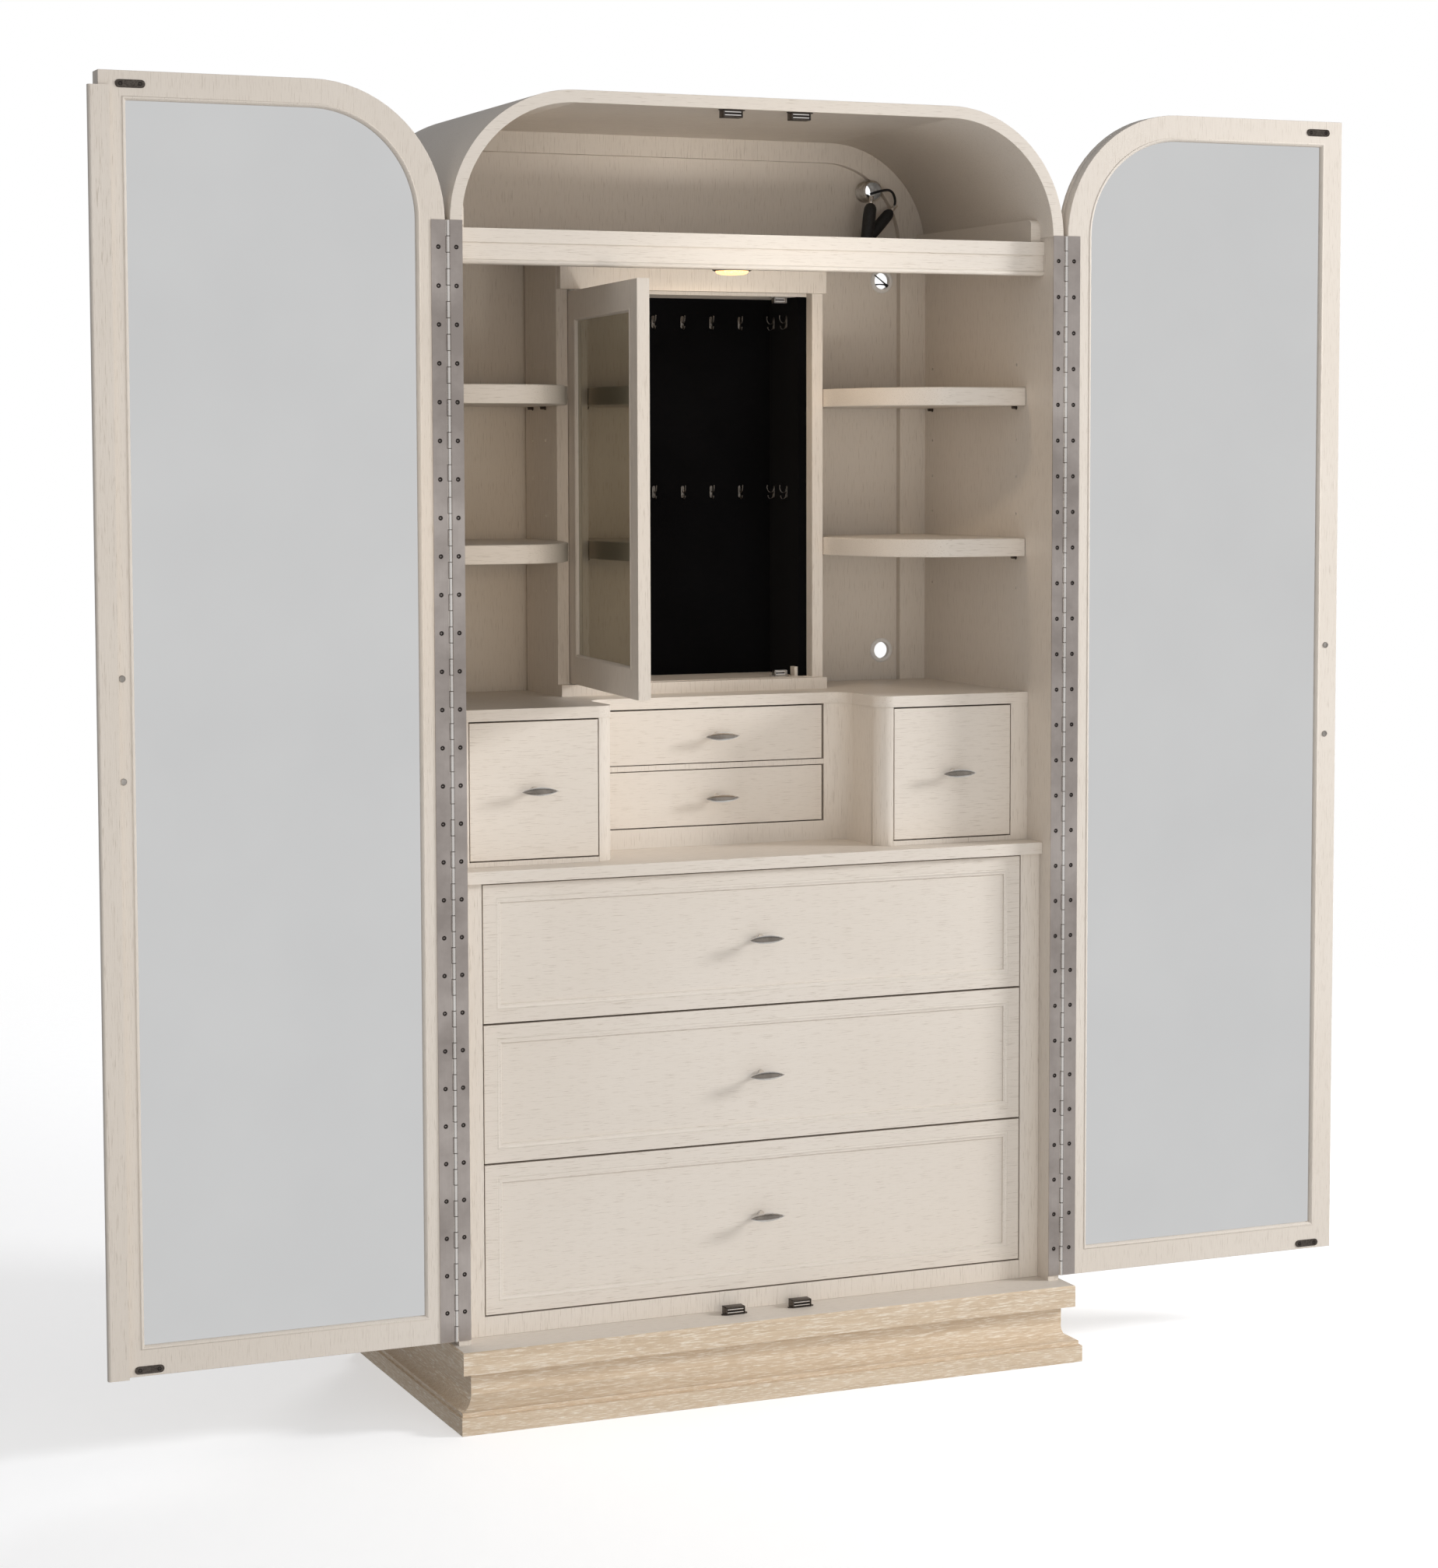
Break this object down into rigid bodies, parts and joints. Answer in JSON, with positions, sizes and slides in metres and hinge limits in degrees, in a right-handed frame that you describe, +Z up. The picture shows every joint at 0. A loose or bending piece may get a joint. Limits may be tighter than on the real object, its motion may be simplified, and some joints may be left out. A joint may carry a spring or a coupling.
{
  "type": "armoire",
  "caption": "Arched armoire with tall mirrored doors, large drawers, a U-shaped hutch of small drawers, shaped shelves and a jewellery cabinet behind its own mirrored door.",
  "frame": {"origin": "on the floor at the middle of the base's width and depth", "axes": "+Z up, the front faces -Y, +X to the right seen from the front"},
  "size_m": [2.194, 0.6171, 2.115],
  "materials": {
    "painted_oak": "satin",
    "base_oak": "satin",
    "drawer_wood": "satin",
    "mirror_glass": "polished",
    "satin_nickel": "satin",
    "dark_bronze": "satin",
    "slide_steel": "satin",
    "black_velvet": "matte",
    "lamp_plastic": "satin",
    "grommet_plastic": "satin",
    "black_rubber": "matte"
  },
  "bodies": {
    "carcass": {"left_side": "painted_oak", "right_side": "painted_oak", "arched_top": "painted_oak", "back_panel": "painted_oak", "rear_frame": "painted_oak", "face_frame": "painted_oak", "counter_top": "painted_oak", "hutch_top": "painted_oak", "hutch_frame": "painted_oak", "top_shelf": "painted_oak", "left_shelves": "painted_oak", "right_shelves": "painted_oak", "jewellery_cabinet": "painted_oak", "plinth_rails": "base_oak", "cove_mouldings": "base_oak", "base_slab": "base_oak", "drawer_guides": "drawer_wood", "hinge_cabinet_leaves": "satin_nickel", "shelf_pegs": "satin_nickel", "necklace_hooks": "satin_nickel", "jewel_door_pins": "satin_nickel", "catches": "dark_bronze", "slide_channels": "slide_steel", "velvet_lining": "black_velvet", "puck_lamp": "lamp_plastic", "cable_grommets": "grommet_plastic", "supply_conduit": "grommet_plastic", "lead_sleeves": "black_rubber", "lead_wires": "black_rubber"},
    "left_door": {"left_door_frame": "painted_oak", "left_door_mirror": "mirror_glass", "left_door_outer_panel": "painted_oak", "left_door_hardware": "dark_bronze", "left_hinge_door_leaf": "satin_nickel", "meeting_strip": "painted_oak"},
    "right_door": {"right_door_frame": "painted_oak", "right_door_mirror": "mirror_glass", "right_door_outer_panel": "painted_oak", "right_door_hardware": "dark_bronze", "right_hinge_door_leaf": "satin_nickel"},
    "jewellery_door": {"jewel_door_frame": "painted_oak", "jewel_door_mirror": "mirror_glass", "jewel_door_fittings": "dark_bronze"},
    "large_drawer_1": {"large_drawer_1_front": "painted_oak", "large_drawer_1_box": "drawer_wood", "large_drawer_1_pull": "satin_nickel"},
    "large_drawer_2": {"large_drawer_2_front": "painted_oak", "large_drawer_2_box": "drawer_wood", "large_drawer_2_pull": "satin_nickel"},
    "large_drawer_3": {"large_drawer_3_front": "painted_oak", "large_drawer_3_box": "drawer_wood", "large_drawer_3_pull": "satin_nickel"},
    "left_small_drawer": {"left_box_drawer": "painted_oak", "left_box_drawer_pull": "satin_nickel"},
    "right_small_drawer": {"right_box_drawer": "painted_oak", "right_box_drawer_pull": "satin_nickel"},
    "upper_small_drawer": {"upper_centre_drawer": "painted_oak", "upper_centre_drawer_pull": "satin_nickel"},
    "lower_small_drawer": {"lower_centre_drawer": "painted_oak", "lower_centre_drawer_pull": "satin_nickel"}
  },
  "joints": [
    {"name": "left_door_hinge", "type": "hinge", "parent": "carcass", "child": "left_door", "pos_m": [-0.545, -0.223, 0.5], "axis": [0, 0, -1], "range_deg": [-154, 0]},
    {"name": "right_door_hinge", "type": "hinge", "parent": "carcass", "child": "right_door", "pos_m": [0.545, -0.223, 0.5], "axis": [0, 0, 1], "range_deg": [-180, 0]},
    {"name": "jewellery_door_hinge", "type": "hinge", "parent": "carcass", "child": "jewellery_door", "pos_m": [-0.2215, 0.107, 1.49], "axis": [0, 0, -1], "range_deg": [-96.5, 10]},
    {"name": "large_drawer_1_slide", "type": "slide", "parent": "carcass", "child": "large_drawer_1", "axis": [0, -1, 0], "range_m": [0, 0.33]},
    {"name": "large_drawer_2_slide", "type": "slide", "parent": "carcass", "child": "large_drawer_2", "axis": [0, -1, 0], "range_m": [0, 0.33]},
    {"name": "large_drawer_3_slide", "type": "slide", "parent": "carcass", "child": "large_drawer_3", "axis": [0, -1, 0], "range_m": [0, 0.33]},
    {"name": "left_small_drawer_slide", "type": "slide", "parent": "carcass", "child": "left_small_drawer", "axis": [0, -1, 0], "range_m": [0, 0.26]},
    {"name": "right_small_drawer_slide", "type": "slide", "parent": "carcass", "child": "right_small_drawer", "axis": [0, -1, 0], "range_m": [0, 0.26]},
    {"name": "upper_small_drawer_slide", "type": "slide", "parent": "carcass", "child": "upper_small_drawer", "axis": [0, -1, 0], "range_m": [0, 0.17]},
    {"name": "lower_small_drawer_slide", "type": "slide", "parent": "carcass", "child": "lower_small_drawer", "axis": [0, -1, 0], "range_m": [0, 0.17]}
  ]
}
